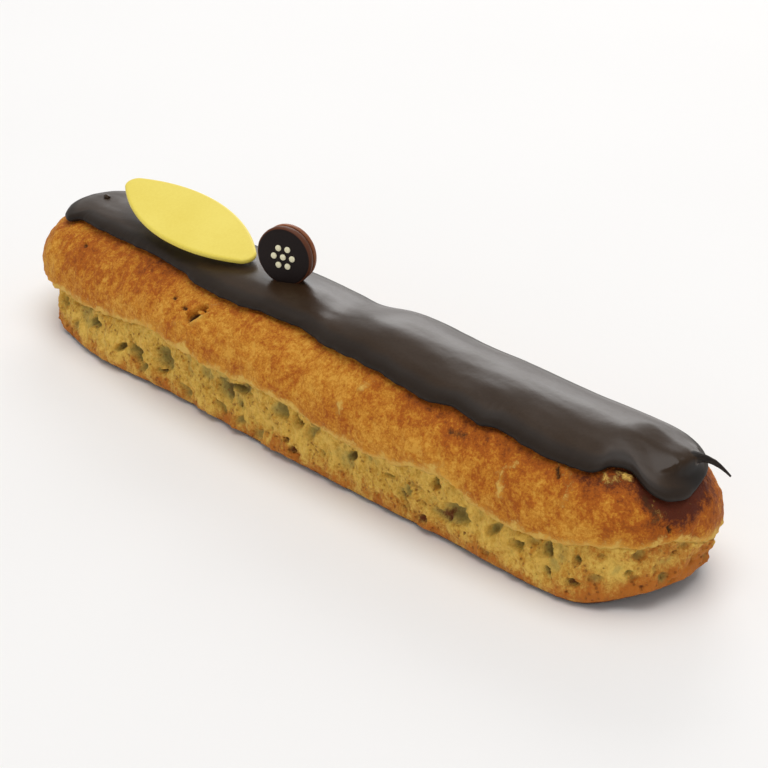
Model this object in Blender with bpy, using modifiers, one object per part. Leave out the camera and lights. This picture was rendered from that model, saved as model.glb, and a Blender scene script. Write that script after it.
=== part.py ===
"""A chocolate eclair: a choux finger, its icing, a leaf-shaped plaque and a round button.

Metres, +Z up. The finger lies along X and rests on z = 0. Its origin is the middle of the flat
foot. The showing side faces -Y, and the plaque and the button sit towards the -X end.

Places round the finger are given by their bearing, in degrees: 0 faces +X, 90 faces +Y. Places
on its domed crust are given by their slope angle, which is 0 at the lip and 90 at the crest.
"""

import math

import bmesh
import bpy
from mathutils import Vector

MM = 0.001
GAP = 0.3 * MM  # free space kept between pieces that touch

# The choux finger.
LENGTH = 155 * MM
CRUST_HALF = 14.3 * MM  # half width of the browned crust, at its lip
FOOT_HALF = 13.3 * MM  # half width of the pale band, just above the floor
NECK_HALF = 13.1 * MM  # half width of the pale band, under the lip
FOOT_CORNER = 1.6 * MM  # radius of the foot's edge
LIP_HEIGHT = 12.1 * MM  # the crust's lower edge
LIP_ROLL = 1.6 * MM  # how far that edge rolls in underneath
CREST_HEIGHT = 23.4 * MM  # top of the choux, under the icing
CREST_RISE = 1.0 * MM  # change of the crest from the middle to the +X end
DOME_POWER = 1.9  # 2 is an ellipse, less is more pointed
HEEL_POWER = 2.4  # the same at the blunter -X end
HEEL_PLACE = -50 * MM  # where that end begins
BOW = 4.4 * MM  # the ends lie this far behind the middle, in plan
TOE_LIFT = 3.0 * MM  # the foot's rise at the +X end
HEEL_LIFT = 0.8 * MM  # the foot's rise at the -X end
LEVEL_REACH = 0.85  # the foot is flat over this share of the half length

# Shallow waves: (place along X, change, spread).
LIP_WAVES = (
    (-34 * MM, 1.7 * MM, 18 * MM),
    (20 * MM, -1.5 * MM, 14 * MM),
    (42 * MM, 1.0 * MM, 7 * MM),
    (60 * MM, -2.0 * MM, 8 * MM),
    (75 * MM, -2.3 * MM, 9 * MM),
    (-72 * MM, -3.6 * MM, 13 * MM),
)
LIP_TOE_WAVE = ((62.0, -2.3 * MM, 28.0),)  # by bearing
CREST_WAVES = (
    (-67 * MM, -2.0 * MM, 13 * MM),
    (-42 * MM, -0.8 * MM, 20 * MM),
    (4 * MM, -0.8 * MM, 6 * MM),
    (17 * MM, 0.9 * MM, 10 * MM),
    (57 * MM, -0.9 * MM, 13 * MM),
    (73 * MM, -1.2 * MM, 9 * MM),
)
FOOT_WAVES = ((-50 * MM, 2.5 * MM, 15 * MM), (60 * MM, 1.4 * MM, 14 * MM))
CRUST_WAVES = ((47.0, 1.1 * MM, 32.0), (227.0, 0.7 * MM, 32.0))  # by bearing

# The icing.
ICING_THICK = 1.7 * MM
ICING_GAP = 0.4 * MM  # between it and the crust
ICING_RIM = 0.30  # share of its width over which its top rounds down to the rim
ICING_RIM_THICK = 0.3 * MM
ICING_LEFT_ANGLE = 59.0  # slope angle of its edge along the -X half
ICING_RIGHT_ANGLE = 51.0  # and along the +X half
ICING_TURN_PLACE = 17 * MM  # the edge passes from the one to the other about here
ICING_TURN_REACH = 26 * MM
ICING_SIDE_WAVES = ((-27 * MM, -4.0, 6 * MM), (-3 * MM, 2.5, 9 * MM), (42 * MM, -1.5, 8 * MM))
ICING_NOTCH = ((-52.0, 7.0, 11.0),)  # by bearing
ICING_TOE_DROP = (-20.0, -36.0, 60.0)  # change of the angle between two bearings
ICING_HEEL_DROP = (-15.0, 130.0, 240.0)
ICING_DROP_RAMP = 14.0

# The fold round the +X end, where the icing was drawn off the brush.
FOLD_BEARING = 16.0
FOLD_SWEEP = 30.0
FOLD_ANGLE = 52.0
FOLD_SPREAD = 9.0
FOLD_HEIGHT = 1.2 * MM

# The thread of icing that it ends in: (point, radius).
THREAD = (
    ((71.2, 4.0, 23.0), 0.8),
    ((73.5, 6.4, 21.6), 1.2),
    ((75.1, 7.9, 20.5), 0.7),
    ((76.3, 9.0, 19.7), 0.35),
    ((77.2, 9.8, 18.6), 0.25),
)

# The leaf-shaped plaque.
PLAQUE_LENGTH = 38 * MM
PLAQUE_WIDTH = 13.6 * MM
PLAQUE_THICK = 1.0 * MM
PLAQUE_TIP = 2.2 * MM  # radius of its tips
PLAQUE_EDGE = 0.2 * MM
PLAQUE_CENTRE = (-38.4, -0.6, 27.0)
PLAQUE_TURN = (11.0, 4.0, -4.0)  # degrees about X, Y and Z

# The round button, in two layers, pressed a little way into the icing.
BUTTON_RADIUS = 5.2 * MM
BUTTON_THICK = 1.4 * MM
BUTTON_EDGE = 0.5 * MM
BACK_RADIUS = 5.1 * MM
BACK_THICK = 0.9 * MM
BACK_EDGE = 0.2 * MM
BUTTON_CENTRE = (-10.3, -2.0, 29.5)
BUTTON_TURN = 20.0  # degrees from -Y towards +X
BUTTON_LEAN = 1.0  # degrees that it leans back

# Colours, linear.
CHOUX_GOLD = (0.56, 0.27, 0.06)
ICING_BROWN = (0.06, 0.045, 0.04)
PLAQUE_YELLOW = (0.87, 0.74, 0.14)
BUTTON_DARK = (0.02, 0.015, 0.015)
CARAMEL_BROWN = (0.30, 0.13, 0.06)

# How finely the solids are divided.
SIDE_STATIONS = 32  # along one straight side
END_STATIONS = 16  # round one end
DOME_RINGS = 10
ICING_RINGS = 10
BAND_RINGS = 3
ROLL_RINGS = 4
ARC_POINTS = 12
ROUND_SIDES = 40

HALF = LENGTH / 2
SPINE_HALF = HALF - CRUST_HALF


def lerp(a, b, t):
    return a + (b - a) * t


def smooth(t):
    t = min(max(t, 0.0), 1.0)
    return t * t * (3 - 2 * t)


def hump(place, centre, spread):
    return math.exp(-(((place - centre) / spread) ** 2))


def waves(place, humps):
    return sum(change * hump(place, centre, spread) for centre, change, spread in humps)


def crest_height(x):
    return CREST_HEIGHT + CREST_RISE * x / HALF + waves(x, CREST_WAVES)


def centreline(x):
    """The finger is bowed in plan: its middle lies nearest -Y."""
    return BOW * ((x / HALF) ** 2 - 1 / 3)


def foot_lift(x):
    share = smooth((abs(x / HALF) - LEVEL_REACH) / (1 - LEVEL_REACH))
    return share * (TOE_LIFT if x > 0 else HEEL_LIFT)


class Station:
    """One place round the finger's plan: a point of its spine, and the bearing outwards."""

    def __init__(self, spine_x, bearing):
        self.spine_x, self.bearing = spine_x, bearing
        turn = math.radians(bearing)
        self.out_x, self.out_y = math.cos(turn), math.sin(turn)

    def x_at(self, radius):
        return self.spine_x + radius * self.out_x

    def point(self, radius, height):
        x = self.x_at(radius)
        rise = foot_lift(x) * (1 - height / crest_height(x))
        return Vector((x, centreline(x) + radius * self.out_y, height + rise))


def stations():
    """Round the plan, anticlockwise from above, from the -X end of the side that faces -Y."""
    near = [Station(lerp(-SPINE_HALF, SPINE_HALF, i / SIDE_STATIONS), -90) for i in range(SIDE_STATIONS)]
    toe = [Station(SPINE_HALF, lerp(-90, 90, i / END_STATIONS)) for i in range(END_STATIONS)]
    far = [Station(lerp(SPINE_HALF, -SPINE_HALF, i / SIDE_STATIONS), 90) for i in range(SIDE_STATIONS)]
    heel = [Station(-SPINE_HALF, lerp(90, 270, i / END_STATIONS)) for i in range(END_STATIONS)]
    return near + toe + far + heel


def lip_height(station, x):
    return LIP_HEIGHT + waves(x, LIP_WAVES) + waves(station.bearing, LIP_TOE_WAVE)


def crust_half(station):
    return CRUST_HALF + waves(station.bearing, CRUST_WAVES)


def dome_point(station, angle, offset=0.0):
    """A point of the domed crust at a slope angle, or that far off it along its normal."""
    turn = math.radians(angle)
    heel = smooth((HEEL_PLACE - station.spine_x) / (SPINE_HALF + HEEL_PLACE))
    power = lerp(DOME_POWER, HEEL_POWER, heel)
    out = max(math.cos(turn), 0.0) ** (2 / power)
    up = math.sin(turn) ** (2 / power)
    normal = Vector((math.cos(turn) / CRUST_HALF, math.sin(turn) / (CREST_HEIGHT - LIP_HEIGHT)))
    normal.normalize()
    radius = crust_half(station) * out + offset * normal.x
    x = station.x_at(radius)
    height = lerp(lip_height(station, x), crest_height(x), up)
    return station.point(radius, height + offset * normal.y)


def band_point(station, share):
    """A point of the pale band, at a share of the way up from its foot to the neck."""
    radius = lerp(foot_half(station), NECK_HALF, share**2)
    top = lip_height(station, station.x_at(radius)) - LIP_ROLL
    return station.point(radius, lerp(FOOT_CORNER, top, share))


def foot_half(station):
    return FOOT_HALF + waves(station.x_at(FOOT_HALF), FOOT_WAVES)


def shell_ring(station):
    """The choux's outline at one station, from the middle of the foot up to the crest."""
    inner = foot_half(station) - FOOT_CORNER
    ring = [station.point(0, 0), station.point(inner / 2, 0)]
    for i in range(ROLL_RINGS):
        turn = math.radians(90 * i / ROLL_RINGS)
        ring.append(station.point(inner + FOOT_CORNER * math.sin(turn), FOOT_CORNER * (1 - math.cos(turn))))
    ring += [band_point(station, i / BAND_RINGS) for i in range(BAND_RINGS + 1)]
    for i in range(1, ROLL_RINGS):
        turn = math.radians(90 * i / ROLL_RINGS)
        radius = lerp(NECK_HALF, crust_half(station), math.sin(turn))
        rolled = lip_height(station, station.x_at(radius)) - LIP_ROLL * math.cos(turn)
        ring.append(station.point(radius, rolled))
    return ring + [dome_point(station, 90 * i / DOME_RINGS) for i in range(DOME_RINGS + 1)]


def icing_edge_angle(station):
    """How far down the dome the icing reaches. The far side repeats the near one, shifted."""
    x = station.x_at(CRUST_HALF / 2)
    if station.out_y > 0:
        x = -x
    side = smooth((x - ICING_TURN_PLACE) / ICING_TURN_REACH + 0.5)
    angle = lerp(ICING_LEFT_ANGLE, ICING_RIGHT_ANGLE, side) + waves(x, ICING_SIDE_WAVES)
    for change, start, end in (ICING_TOE_DROP, ICING_HEEL_DROP):
        rise = smooth((station.bearing - start) / ICING_DROP_RAMP + 0.5)
        fall = smooth((end - station.bearing) / ICING_DROP_RAMP + 0.5)
        angle += change * rise * fall
    return angle + waves(station.bearing, ICING_NOTCH)


def icing_thickness(station, angle, share):
    """share is 0 at the crest and 1 at the rim."""
    past = max(share - (1 - ICING_RIM), 0) / ICING_RIM
    thick = lerp(ICING_RIM_THICK, ICING_THICK, math.sqrt(max(1 - past * past, 0)))
    fold = hump(station.bearing, FOLD_BEARING, FOLD_SWEEP) * hump(angle, FOLD_ANGLE, FOLD_SPREAD)
    return thick + FOLD_HEIGHT * fold * (1 - past)


def icing_ring(station):
    """The icing's outline at one station: out along its top to the rim, and back beneath."""
    edge = icing_edge_angle(station)
    over = []
    under = []
    for i in range(ICING_RINGS + 1):
        share = math.sin(math.radians(90 * i / ICING_RINGS))
        angle = lerp(90, edge, share)
        over.append(dome_point(station, angle, ICING_GAP + icing_thickness(station, angle, share)))
        under.append(dome_point(station, lerp(90, edge, i / ICING_RINGS), ICING_GAP))
    return over + under[::-1]


def put(collection, name, data, colour, roughness, place=(0, 0, 0)):
    """An object with its own material, at a place in millimetres."""
    material = bpy.data.materials.new(name)
    material.use_nodes = True
    shader = material.node_tree.nodes["Principled BSDF"]
    shader.inputs["Base Color"].default_value = (*colour, 1)
    shader.inputs["Roughness"].default_value = roughness
    shader.inputs["Metallic"].default_value = 0
    data.materials.append(material)
    piece = bpy.data.objects.new(name, data)
    piece.location = Vector(place) * MM
    collection.objects.link(piece)
    return piece


def loft(name, rings):
    """A closed mesh over rings that start and end on the spine, where their points merge."""
    mesh = bmesh.new()
    verts = [[mesh.verts.new(point) for point in ring] for ring in rings]
    for ring, after in zip(verts, verts[1:] + verts[:1]):
        for i in range(len(ring) - 1):
            mesh.faces.new((ring[i], after[i], after[i + 1], ring[i + 1]))
    bmesh.ops.remove_doubles(mesh, verts=mesh.verts[:], dist=0.001 * MM)
    bmesh.ops.triangulate(mesh, faces=mesh.faces[:])
    bmesh.ops.recalc_face_normals(mesh, faces=mesh.faces[:])
    data = bpy.data.meshes.new(name)
    mesh.to_mesh(data)
    mesh.free()
    data.shade_smooth()
    return data


def leaf_outline():
    """Two arcs that meet in rounded tips, anticlockwise."""
    tall = PLAQUE_WIDTH / 2 - PLAQUE_TIP
    reach = PLAQUE_LENGTH / 2 - PLAQUE_TIP
    radius = (reach**2 + tall**2) / (2 * tall)
    half = math.asin(reach / radius)
    side = []
    for i in range(ARC_POINTS + 1):
        turn = lerp(half, -half, i / ARC_POINTS)
        wide = radius + PLAQUE_TIP
        side.append((wide * math.sin(turn), wide * math.cos(turn) - (radius - tall)))
    tip_turn = math.pi / 2 - half
    for i in range(1, ARC_POINTS // 2):
        turn = math.pi + lerp(-tip_turn, tip_turn, i / (ARC_POINTS // 2))
        side.append((-reach + PLAQUE_TIP * math.cos(turn), PLAQUE_TIP * math.sin(turn)))
    return side + [(-x, -y) for x, y in side]


def plaque(parts):
    outline = leaf_outline()
    curve = bpy.data.curves.new("plaque", "CURVE")
    curve.dimensions = "2D"
    curve.fill_mode = "BOTH"
    curve.extrude = PLAQUE_THICK / 2
    spline = curve.splines.new("POLY")
    spline.points.add(len(outline) - 1)
    for point, (x, y) in zip(spline.points, outline):
        point.co = (x, y, 0, 1)
    spline.use_cyclic_u = True
    piece = put(parts, "plaque", curve, PLAQUE_YELLOW, 0.45, PLAQUE_CENTRE)
    piece.rotation_euler = [math.radians(turn) for turn in PLAQUE_TURN]
    weld = piece.modifiers.new("weld", "WELD")
    weld.merge_threshold = 0.01 * MM
    bevel(piece, PLAQUE_EDGE)
    return piece


def bevel(piece, width):
    edge = piece.modifiers.new("edge", "BEVEL")
    edge.width = width
    edge.segments = 2
    edge.limit_method = "ANGLE"
    edge.angle_limit = math.radians(60)


def disc(parts, name, radius, thick, behind, colour, roughness):
    """A round layer of the button, its middle that far behind the front layer's middle."""
    mesh = bmesh.new()
    bmesh.ops.create_cone(
        mesh, cap_ends=True, segments=ROUND_SIDES, radius1=radius, radius2=radius, depth=thick
    )
    data = bpy.data.meshes.new(name)
    mesh.to_mesh(data)
    mesh.free()
    data.shade_smooth()
    data.set_sharp_from_angle(angle=math.radians(40))
    piece = put(parts, name, data, colour, roughness, BUTTON_CENTRE)
    piece.rotation_euler = (math.radians(90 - BUTTON_LEAN), 0, math.radians(BUTTON_TURN))
    piece.location -= piece.rotation_euler.to_matrix() @ Vector((0, 0, behind))
    return piece


def thread(cutters):
    """The drawn-out thread of icing, as a closed mesh."""
    curve = bpy.data.curves.new("thread", "CURVE")
    curve.dimensions = "3D"
    curve.bevel_depth = MM
    curve.bevel_resolution = 2
    curve.use_fill_caps = True
    curve.resolution_u = 4
    spline = curve.splines.new("BEZIER")
    spline.bezier_points.add(len(THREAD) - 1)
    for point, (place, radius) in zip(spline.bezier_points, THREAD):
        point.co = Vector(place) * MM
        point.radius = radius
        point.handle_left_type = point.handle_right_type = "AUTO"
    guide = bpy.data.objects.new("thread_guide", curve)
    cutters.objects.link(guide)
    bpy.context.view_layer.update()
    data = bpy.data.meshes.new_from_object(guide.evaluated_get(bpy.context.evaluated_depsgraph_get()))
    bpy.data.objects.remove(guide)
    mesh = bmesh.new()
    mesh.from_mesh(data)
    bmesh.ops.remove_doubles(mesh, verts=mesh.verts[:], dist=0.01 * MM)
    mesh.to_mesh(data)
    mesh.free()
    return hidden(cutters, "thread", data)


def hidden(cutters, name, data):
    piece = bpy.data.objects.new(name, data)
    piece.hide_render = True
    piece.display_type = "WIRE"
    cutters.objects.link(piece)
    return piece


def button_pocket(cutters):
    """The room that the button takes up in the icing."""
    mesh = bmesh.new()
    radius = BUTTON_RADIUS + GAP
    depth = BUTTON_THICK + GAP + BACK_THICK + 2 * GAP
    bmesh.ops.create_cone(
        mesh, cap_ends=True, segments=ROUND_SIDES, radius1=radius, radius2=radius, depth=depth
    )
    data = bpy.data.meshes.new("button_pocket")
    mesh.to_mesh(data)
    mesh.free()
    piece = hidden(cutters, "button_pocket", data)
    piece.rotation_euler = (math.radians(90 - BUTTON_LEAN), 0, math.radians(BUTTON_TURN))
    back = (GAP + BACK_THICK) / 2
    piece.location = Vector(BUTTON_CENTRE) * MM - piece.rotation_euler.to_matrix() @ Vector((0, 0, back))
    return piece


def boolean(piece, name, operation, other):
    step = piece.modifiers.new(name, "BOOLEAN")
    step.operation = operation
    step.solver = "EXACT"
    step.object = other


def main():
    for old in list(bpy.data.objects):
        bpy.data.objects.remove(old)
    parts = bpy.data.collections.new("chocolate_eclair")
    cutters = bpy.data.collections.new("cutters")
    bpy.context.scene.collection.children.link(parts)
    bpy.context.scene.collection.children.link(cutters)

    round_plan = stations()
    choux = loft("choux_shell", [shell_ring(s) for s in round_plan])
    put(parts, "choux_shell", choux, CHOUX_GOLD, 0.8)
    coat = loft("chocolate_icing", [icing_ring(s) for s in round_plan])
    icing = put(parts, "chocolate_icing", coat, ICING_BROWN, 0.3)
    boolean(icing, "add_thread", "UNION", thread(cutters))
    boolean(icing, "cut_pocket", "DIFFERENCE", button_pocket(cutters))
    plaque(parts)
    front = disc(parts, "button_front", BUTTON_RADIUS, BUTTON_THICK, 0, BUTTON_DARK, 0.35)
    bevel(front, BUTTON_EDGE)
    behind = (BUTTON_THICK + BACK_THICK) / 2 + GAP
    back = disc(parts, "button_back", BACK_RADIUS, BACK_THICK, behind, CARAMEL_BROWN, 0.4)
    bevel(back, BACK_EDGE)


main()
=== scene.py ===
# %% [markdown]
# # A chocolate eclair
# A finger of choux pastry lies on a pale table. Its top is a browned, domed crust, and under the
# crust's lip runs a band of pale, holey crumb. It wears a coat of dark chocolate icing, a thin leaf
# of yellow chocolate and a small dark button that stands on its edge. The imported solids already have
# the right sizes and places. This lesson builds the same five parts again with their baked detail.

# %% Load the frame
import math

import bmesh
import bpy
import numpy as np
from mathutils import Euler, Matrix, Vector, noise


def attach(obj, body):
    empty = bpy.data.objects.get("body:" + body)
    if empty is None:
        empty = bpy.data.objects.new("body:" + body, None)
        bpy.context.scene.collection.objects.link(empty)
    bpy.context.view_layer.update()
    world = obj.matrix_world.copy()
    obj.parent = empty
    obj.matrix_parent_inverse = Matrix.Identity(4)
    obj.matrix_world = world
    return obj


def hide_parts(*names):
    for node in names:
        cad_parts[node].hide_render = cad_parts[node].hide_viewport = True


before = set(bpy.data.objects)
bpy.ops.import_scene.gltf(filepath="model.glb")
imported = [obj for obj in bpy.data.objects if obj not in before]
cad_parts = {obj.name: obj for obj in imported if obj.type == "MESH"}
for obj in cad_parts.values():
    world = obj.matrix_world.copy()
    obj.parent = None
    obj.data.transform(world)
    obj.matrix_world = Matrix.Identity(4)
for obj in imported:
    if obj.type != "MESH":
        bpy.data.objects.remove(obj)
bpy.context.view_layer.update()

MM = 0.001

# %% [markdown]
# ## Numbers that flow
# Pastry has no straight lines, so its outline is a plain form with soft waves on it. These helpers
# work on whole arrays of places at once, which keeps a mesh of a hundred thousand points quick.
# Everything below is in millimetres, and turns into metres only when a mesh is made.

# %% Blends, humps and waves


def lerp(a, b, t):
    return a + (b - a) * t


def smooth(t):
    t = np.clip(t, 0.0, 1.0)
    return t * t * (3 - 2 * t)


def hump(place, centre, spread):
    return np.exp(-(((place - centre) / spread) ** 2))


def waves(place, humps):
    return sum(change * hump(place, centre, spread) for centre, change, spread in humps)


def rough(points, size, octaves=3):
    """Natural unevenness from about -1 to 1, with lumps of that size."""
    flat = np.asarray(points).reshape(-1, 3) / size
    found = [noise.fractal(point, 1.0, 2.0, octaves) for point in flat.tolist()]
    return np.array(found).reshape(np.shape(points)[:-1])


print("half way through a smooth step is", smooth(0.5))

# %% [markdown]
# ## The finger's form
# Seen from above the finger is a long slot shape, slightly bowed. A place round it is a run: the
# distance along the near side from its middle, which goes on round the +X end, back along the far
# side and round the -X end. From each run the outline is a radius outwards from the spine and a
# height. The same few sizes made the solids, so the new meshes fall exactly on them.

# %% Sizes of the finger
LENGTH = 155
CRUST_HALF = 14.3  # half width of the browned crust, at its lip
FOOT_HALF = 12.9  # half width of the pale band, just above the table
NECK_HALF = 13.1  # and under the lip
FOOT_CORNER = 2.0
LIP_HEIGHT = 12.1
BELLY_RISE = 0.9  # the crust is widest this far above its lip
BELLY_END_RISE = 2.4  # and this far at the two ends
LIP_TUCK = 0.4  # the lip's edge ends a little below its widest line
CREST_HEIGHT = 23.4
CREST_RISE = 1.0
DOME_POWER = 1.9
HEEL_POWER = 2.2  # the -X end is blunter
HEEL_PLACE = -50
BOW = 4.4
TOE_LIFT = 3.0
HEEL_LIFT = 0.8
LEVEL_REACH = 0.85
# (run, height of the crust's lip)
LIP_LINE = (
    (-61, 9.0), (-54, 9.0), (-48, 9.4), (-42.5, 10.4), (-38, 11.1), (-33.5, 12), (-29.5, 12), (-24, 11.2),
    (-15, 11), (-10, 11.2), (-4, 11.9), (6, 11.8), (9.5, 11), (13, 10.8), (19.5, 10.2), (25, 10.4), (31, 10.9),
    (34, 11.7), (38, 12.3), (41.5, 12.9), (43.5, 11.6), (45.5, 10.5), (47.5, 9.8), (50, 9.3), (55, 9), (60, 9.5),
    (64, 10.1), (68, 10.8), (71.5, 10.7), (76, 9.8), (81, 9.8), (84, 8.6), (88, 7.3), (94, 6.4), (100, 7.2),
    (108, 9), (118, 10.2), (132, 12), (144, 11), (158, 12.1), (172, 10.8), (186, 11.9), (200, 11.2), (214, 10.2),
    (226, 10.4), (240, 9.8), (252, 9), (264, 8.4), (272, 8.4),
)
LIP_BLUR = 0.7
BELLY_BLUR = 4
CREST_WAVES = ((-67, -2.0, 13), (-42, -0.8, 20), (4, -0.8, 6), (17, 0.9, 10), (57, -0.9, 13), (73, -1.2, 9))
FOOT_WAVES = ((-50, 2.5, 15), (60, 1.4, 14))
CRUST_WAVES = ((47, 0.6, 32), (227, 0.7, 32))
NECK_WAVES = ((30, 0.9, 40), (225, -1.3, 38))  # by bearing
FOOT_END_WAVES = ((222, -2.4, 34),)
HALF = LENGTH / 2
SPINE_HALF = HALF - CRUST_HALF
ROUND_END = math.pi * CRUST_HALF  # the run round one end
ROUND_ALL = 4 * SPINE_HALF + 2 * ROUND_END
print("once round the finger is", round(ROUND_ALL), "mm")

# %% Places round the finger


def centreline(x):
    return BOW * ((x / HALF) ** 2 - 1 / 3)


def crest_height(x):
    return CREST_HEIGHT + CREST_RISE * x / HALF + waves(x, CREST_WAVES)


def foot_lift(x):
    share = smooth((abs(x / HALF) - LEVEL_REACH) / (1 - LEVEL_REACH))
    return share * np.where(x > 0, TOE_LIFT, HEEL_LIFT)


class Plan:
    """Places round the finger: a point of its spine, and the bearing outwards, in degrees."""

    corners = np.cumsum([-SPINE_HALF, 2 * SPINE_HALF, ROUND_END, 2 * SPINE_HALF, ROUND_END])

    def __init__(self, run):
        self.run = (np.atleast_1d(run)[:, None] + SPINE_HALF) % ROUND_ALL - SPINE_HALF
        ends = (-SPINE_HALF, SPINE_HALF, SPINE_HALF, -SPINE_HALF, -SPINE_HALF)
        self.spine_x = np.interp(self.run, self.corners, ends)
        self.bearing = np.interp(self.run, self.corners, (-90, -90, 90, 90, 270))
        self.out_x = np.cos(np.radians(self.bearing))
        self.out_y = np.sin(np.radians(self.bearing))

    def x_at(self, radius):
        return self.spine_x + radius * self.out_x

    def points(self, radius, height):
        x = self.x_at(radius)
        y = centreline(x) + radius * self.out_y
        z = height + foot_lift(x) * (1 - height / crest_height(x))
        return np.stack(np.broadcast_arrays(x, y, z), axis=-1)


def runs_round(side, end):
    """Runs once round the finger, with that many along each side and round each end."""
    steps = (side, end, side, end)
    pieces = [np.linspace(Plan.corners[i], Plan.corners[i + 1], steps[i], endpoint=False) for i in range(4)]
    return np.concatenate(pieces)


print("half way round is x", round(float(Plan(ROUND_ALL / 2 - SPINE_HALF).spine_x[0, 0]), 1), "mm")

# %% [markdown]
# ## The lip and the dome
# The crust bulges over the band and ends in a lip that wanders up and down and is a little ragged.
# Above the lip it is a dome, a superellipse: its slope angle is 0 at the lip and 90 at the crest.

# %% Lip, dome and band


def soft_line(plan, stops, blur):
    """A line round the finger through (run, value) stops, its corners rounded off."""
    runs, values = np.array(stops).T
    spread = np.linspace(-blur, blur, 7)
    return np.mean([np.interp(plan.run + move, runs, values, period=ROUND_ALL) for move in spread], axis=0)


def lip_tear(plan):
    edge = plan.points(CRUST_HALF, 0)
    return 0.35 * rough(edge, 6) + 0.35 * rough(edge, 1.6)


def lip_height(plan):
    return soft_line(plan, LIP_LINE, LIP_BLUR) + lip_tear(plan)


def belly_height(plan):
    """The crust's widest line. It is smoother than the lip and rises at the two round ends."""
    rise = lerp(BELLY_RISE, BELLY_END_RISE, smooth(1.6 * abs(plan.out_x)))
    return soft_line(plan, LIP_LINE, BELLY_BLUR) + rise


def crust_half(plan):
    return CRUST_HALF + waves(plan.bearing, CRUST_WAVES)


def neck_half(plan):
    return NECK_HALF + waves(plan.bearing, NECK_WAVES)


def foot_half(plan):
    return FOOT_HALF + waves(plan.x_at(FOOT_HALF), FOOT_WAVES) + waves(plan.bearing, FOOT_END_WAVES)


def dome(plan, angle, offset=0.0):
    """Points of the dome at slope angles, that far off it along its normal."""
    turn = np.radians(angle)
    heel = smooth((HEEL_PLACE - plan.spine_x) / (SPINE_HALF + HEEL_PLACE))
    power = lerp(DOME_POWER, HEEL_POWER, heel)
    out = np.maximum(np.cos(turn), 0) ** (2 / power)
    up = np.sin(turn) ** (2 / power)
    across = np.cos(turn) / CRUST_HALF
    along = np.sin(turn) / (CREST_HEIGHT - LIP_HEIGHT)
    length = np.hypot(across, along)
    radius = crust_half(plan) * out + offset * across / length
    radius = np.where(turn > math.pi / 2 - 1e-6, 0, radius)
    x = plan.x_at(radius)
    height = lerp(belly_height(plan), crest_height(x), up)
    return plan.points(radius, height + offset * along / length)


top_point = dome(Plan(0), np.array([[90.0]]))[0, 0]
print("the crest stands", round(float(top_point[2]), 1), "mm high in the middle")

# %% [markdown]
# ## Meshes from rings
# Every part of the cake is a closed skin, so one helper makes them all. It takes a grid of points,
# place by place round the form and ring by ring from the middle of its underside, out over its edge
# and back to the middle on top. Points that fall together are welded, which closes the two poles.

# %% A skin from a grid of points


def skin(name, grid, **masks):
    """A smooth closed mesh. Each mask is a number per point, for the finish to use."""
    flat = grid.reshape(-1, 3)
    _, first, welded = np.unique(np.round(flat, 4), axis=0, return_index=True, return_inverse=True)
    here = welded.reshape(grid.shape[:2])
    after = np.roll(here, -1, axis=0)
    corners = np.stack((here[:, :-1], after[:, :-1], after[:, 1:], here[:, 1:]), axis=-1)
    loops = [list(dict.fromkeys(corner)) for corner in corners.reshape(-1, 4).tolist()]
    data = bpy.data.meshes.new(name)
    data.from_pydata((flat[first] * MM).tolist(), [], [loop for loop in loops if len(loop) > 2])
    for mask, values in masks.items():
        spread = np.broadcast_to(values, grid.shape[:2]).reshape(-1)[first]
        data.attributes.new(mask, "FLOAT", "POINT").data.foreach_set("value", spread.astype(np.float32))
    data.shade_smooth()
    return data


def piece(name, data, finish, slot, *nodes):
    """A part of the cake that rides with it, in its finish, and stands for those solids."""
    made = bpy.data.objects.new(name, data)
    bpy.context.scene.collection.objects.link(made)
    data.materials.append(finish)
    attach(made, "root")
    if nodes:
        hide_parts(*nodes)
    data.validate()
    triangles = sum(len(face.vertices) - 2 for face in data.polygons)
    print(name, "has", triangles, "triangles")
    return made


# %% [markdown]
# ## The table, the light and the eye
# A cake like this is shown on a white table in broad, even light: a large soft lamp overhead and a
# bright room all round, which gives long gentle highlights on the icing and almost no shadow. The
# camera looks down at it from the near side, a little from the left of its +X end.

# %% Table


def plain_plane(name, size):
    half = size / 2
    data = bpy.data.meshes.new(name)
    corners = [(-half, -half, 0), (half, -half, 0), (half, half, 0), (-half, half, 0)]
    data.from_pydata(corners, [], [(0, 1, 2, 3)])
    made = bpy.data.objects.new(name, data)
    bpy.context.scene.collection.objects.link(made)
    return made


table = plain_plane("table", 16.0)
print("the table is", table.dimensions.x, "m wide")

# %% Camera
AZIMUTH = 47.3
ELEVATION = 27.0
DISTANCE = 380
AIM = Vector((5, 6.5, 8))
eye = bpy.data.cameras.new("eye")
eye.sensor_width = 36
eye.lens = 104.3
camera = bpy.data.objects.new("eye", eye)
bpy.context.scene.collection.objects.link(camera)
bpy.context.scene.camera = camera
turn = math.radians(AZIMUTH)
lean = math.radians(ELEVATION)
back = Vector((math.sin(turn) * math.cos(lean), -math.cos(turn) * math.cos(lean), math.sin(lean)))
camera.location = (AIM + back * DISTANCE) * MM
camera.rotation_euler = back.to_track_quat("Z", "Y").to_euler()
print("the camera stands at", [round(place, 3) for place in camera.location], "m")

# %% Lamp and room
ROOM_LIGHT = 0.42
room = bpy.data.worlds.new("room")
room.use_nodes = True
room.node_tree.nodes["Background"].inputs["Color"].default_value = (1.0, 0.99, 0.98, 1)
room.node_tree.nodes["Background"].inputs["Strength"].default_value = ROOM_LIGHT
bpy.context.scene.world = room
bpy.context.scene.view_settings.view_transform = "Standard"


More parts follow.
